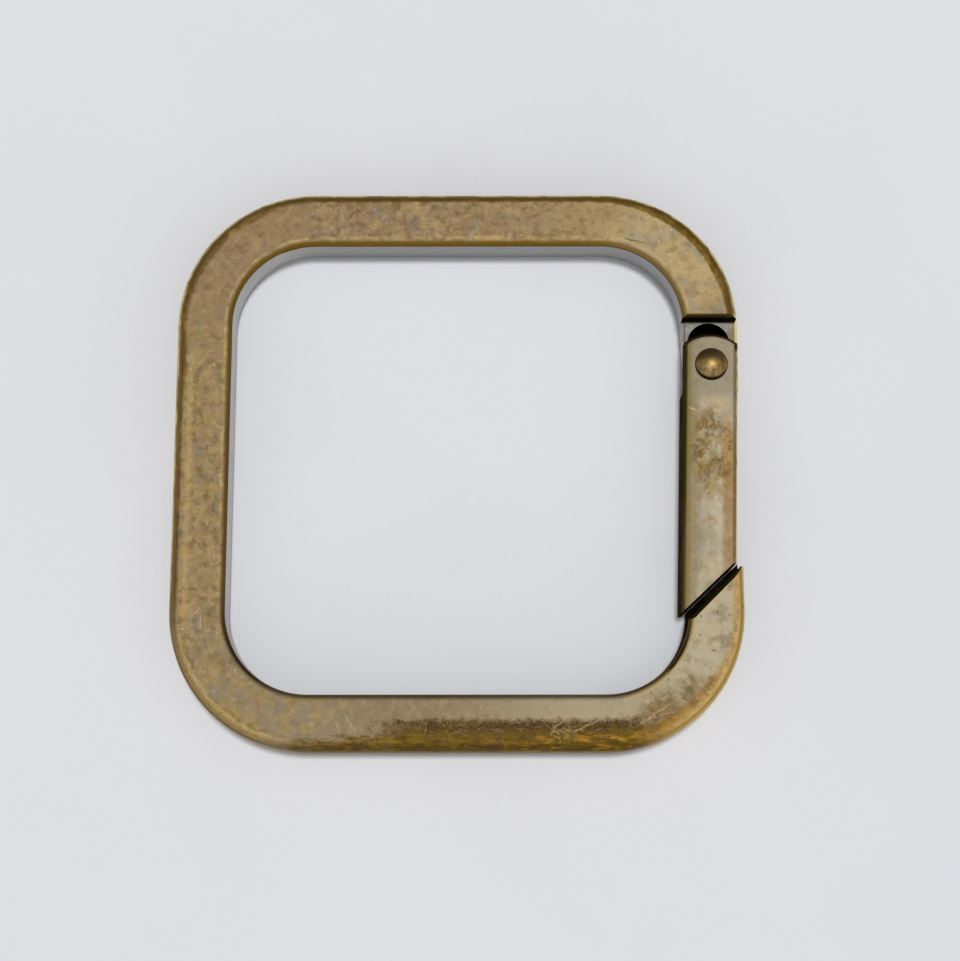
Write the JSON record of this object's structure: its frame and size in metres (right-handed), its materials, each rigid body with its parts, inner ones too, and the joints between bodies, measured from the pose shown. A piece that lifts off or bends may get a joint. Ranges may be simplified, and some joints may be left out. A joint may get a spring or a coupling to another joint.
{
  "type": "square spring ring",
  "caption": "Flat square ring with rounded corners and a sprung gate that swings inward on a rivet, so straps or loops can be hooked in and held.",
  "frame": {"origin": "centre of the ring on its back face", "axes": "+X to the gate side, +Y along the gate from its free end to its hinge, +Z out of the front face"},
  "size_m": [0.0473, 0.0472, 0.0046],
  "materials": {
    "ring_frame": "antique brass plating, tan with dark patina and rubbed golden edges",
    "gate": "antique brass plating, greyer and smoother, with worn brown patches",
    "hinge_rivet": "antique brass plating, rubbed bright on the dome",
    "torsion_spring": "plain spring wire, dark"
  },
  "bodies": {
    "ring": {"ring_frame": "ring_frame", "hinge_rivet": "hinge_rivet", "torsion_spring": "torsion_spring"},
    "gate": {"gate": "gate"}
  },
  "joints": [
    {"name": "gate_hinge", "type": "hinge", "parent": "ring", "child": "gate", "pos_m": [0.0213, 0.0085, 0.0019], "axis": [0, 0, -1], "range_deg": [0, 35], "stiffness_Nm_per_rad": 0.02, "springref_deg": -34.38, "deforming": ["torsion_spring"]}
  ]
}
